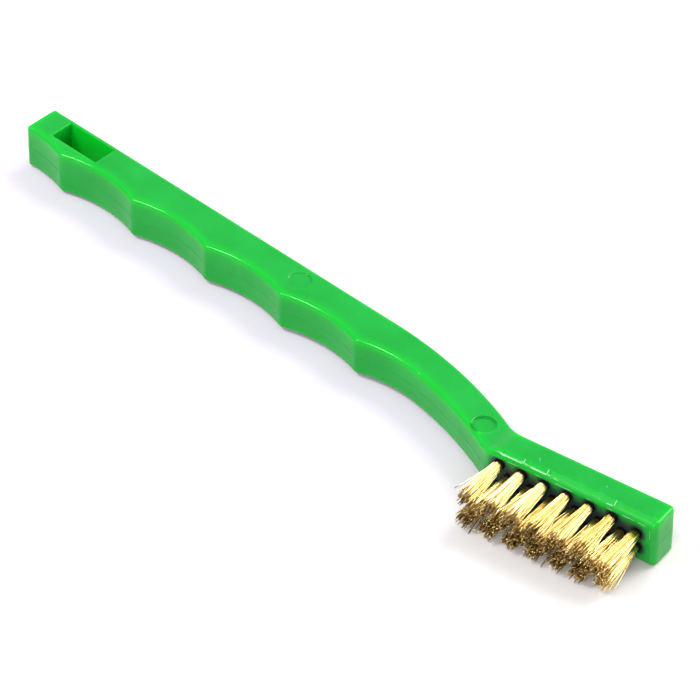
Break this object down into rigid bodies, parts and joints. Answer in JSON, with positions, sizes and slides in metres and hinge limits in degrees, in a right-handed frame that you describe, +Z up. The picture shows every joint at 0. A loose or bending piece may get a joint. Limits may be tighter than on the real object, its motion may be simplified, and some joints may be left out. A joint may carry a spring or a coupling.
{
  "type": "wire brush",
  "caption": "Small toothbrush style wire brush: slim plastic handle with finger scallops, a hang slot and an angled head that carries rows of short brass wire tufts.",
  "frame": {"origin": "centre of the underside of the whole brush's bounding box, lying flat on its side", "axes": "+X from the hang slot end to the head, -Y the way the bristles point, +Z up through the thickness of the handle"},
  "size_m": [0.1854, 0.0292, 0.0116],
  "materials": {
    "handle": "glossy, slightly translucent green moulding",
    "tufts": "bright drawn brass wire with dark cut ends",
    "staples": "flat rolled strip"
  },
  "bodies": {
    "root": {"handle": "handle", "tuft_upper_1": "tufts", "tuft_upper_2": "tufts", "tuft_upper_3": "tufts", "tuft_upper_4": "tufts", "tuft_upper_5": "tufts", "tuft_upper_6": "tufts", "tuft_middle_1": "tufts", "tuft_middle_2": "tufts", "tuft_middle_3": "tufts", "tuft_middle_4": "tufts", "tuft_middle_5": "tufts", "tuft_middle_6": "tufts", "tuft_lower_1": "tufts", "tuft_lower_2": "tufts", "tuft_lower_3": "tufts", "tuft_lower_4": "tufts", "tuft_lower_5": "tufts", "tuft_lower_6": "tufts", "tuft_end_1": "tufts", "tuft_end_2": "tufts", "staple_upper_1": "staples", "staple_upper_2": "staples", "staple_upper_3": "staples", "staple_upper_4": "staples", "staple_upper_5": "staples", "staple_upper_6": "staples", "staple_middle_1": "staples", "staple_middle_2": "staples", "staple_middle_3": "staples", "staple_middle_4": "staples", "staple_middle_5": "staples", "staple_middle_6": "staples", "staple_lower_1": "staples", "staple_lower_2": "staples", "staple_lower_3": "staples", "staple_lower_4": "staples", "staple_lower_5": "staples", "staple_lower_6": "staples", "staple_end_1": "staples", "staple_end_2": "staples"}
  },
  "joints": []
}
